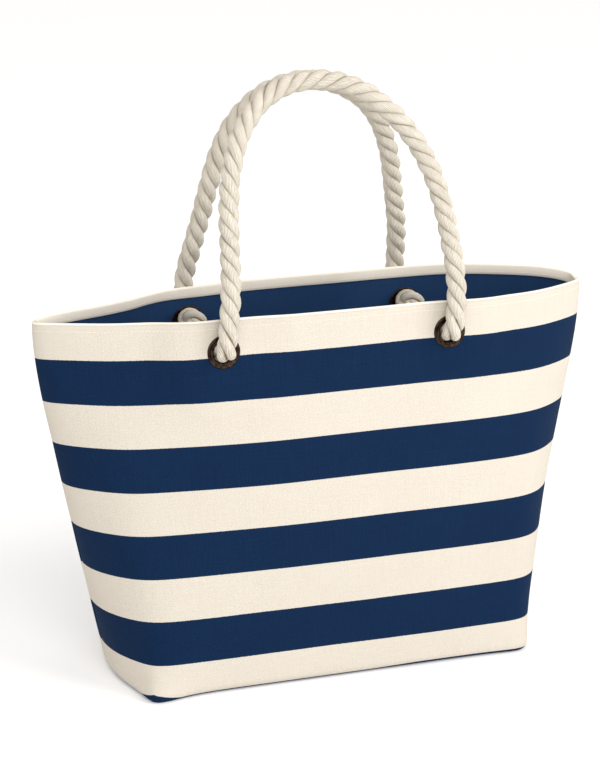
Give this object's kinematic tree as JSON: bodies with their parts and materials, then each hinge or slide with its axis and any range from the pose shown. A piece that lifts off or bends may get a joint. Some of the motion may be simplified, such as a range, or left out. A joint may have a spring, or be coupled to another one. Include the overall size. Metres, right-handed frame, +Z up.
{
  "type": "tote bag",
  "caption": "Open-top striped canvas tote with a flat boxed base and twisted rope handles that pass through metal eyelets and swing down over the sides.",
  "frame": {"origin": "on the floor, under the middle of the base; the middle of the part's box without regard to height", "axes": "+Z up; +X along the bag from the left side seam to the right; -Y is the front of the bag"},
  "size_m": [0.576, 0.186, 0.6043],
  "materials": {
    "striped_canvas": "plain-weave cotton canvas, natural with printed navy bands",
    "natural_canvas": "plain-weave cotton canvas, natural",
    "navy_lining": "matt woven cotton lining, navy",
    "cotton_rope": "three-strand twisted cotton rope, natural",
    "eyelet_metal": "dark antique bronze, worn at the edges"
  },
  "bodies": {
    "bag": {"front_panel": "striped_canvas", "back_panel": "striped_canvas", "front_lining": "navy_lining", "back_lining": "navy_lining", "front_rim_facing": "natural_canvas", "back_rim_facing": "natural_canvas", "left_side_seam": "natural_canvas", "right_side_seam": "natural_canvas", "left_corner_seam": "natural_canvas", "right_corner_seam": "natural_canvas", "base_seam": "natural_canvas", "front_left_eyelet": "eyelet_metal", "front_left_washer": "eyelet_metal", "front_left_rope_end": "cotton_rope", "front_left_knot": "cotton_rope", "front_right_eyelet": "eyelet_metal", "front_right_washer": "eyelet_metal", "front_right_rope_end": "cotton_rope", "front_right_knot": "cotton_rope", "back_left_eyelet": "eyelet_metal", "back_left_washer": "eyelet_metal", "back_left_rope_end": "cotton_rope", "back_left_knot": "cotton_rope", "back_right_eyelet": "eyelet_metal", "back_right_washer": "eyelet_metal", "back_right_rope_end": "cotton_rope", "back_right_knot": "cotton_rope"},
    "front_handle": {"front_handle": "cotton_rope"},
    "back_handle": {"back_handle": "cotton_rope"}
  },
  "joints": [
    {"name": "front_handle_swing", "type": "hinge", "parent": "bag", "child": "front_handle", "pos_m": [0, -0.08209, 0.34679], "axis": [1, 0, 0], "range_deg": [0, 170]},
    {"name": "back_handle_swing", "type": "hinge", "parent": "bag", "child": "back_handle", "pos_m": [0, 0.06924, 0.34723], "axis": [-1, 0, 0], "range_deg": [0, 170]}
  ]
}
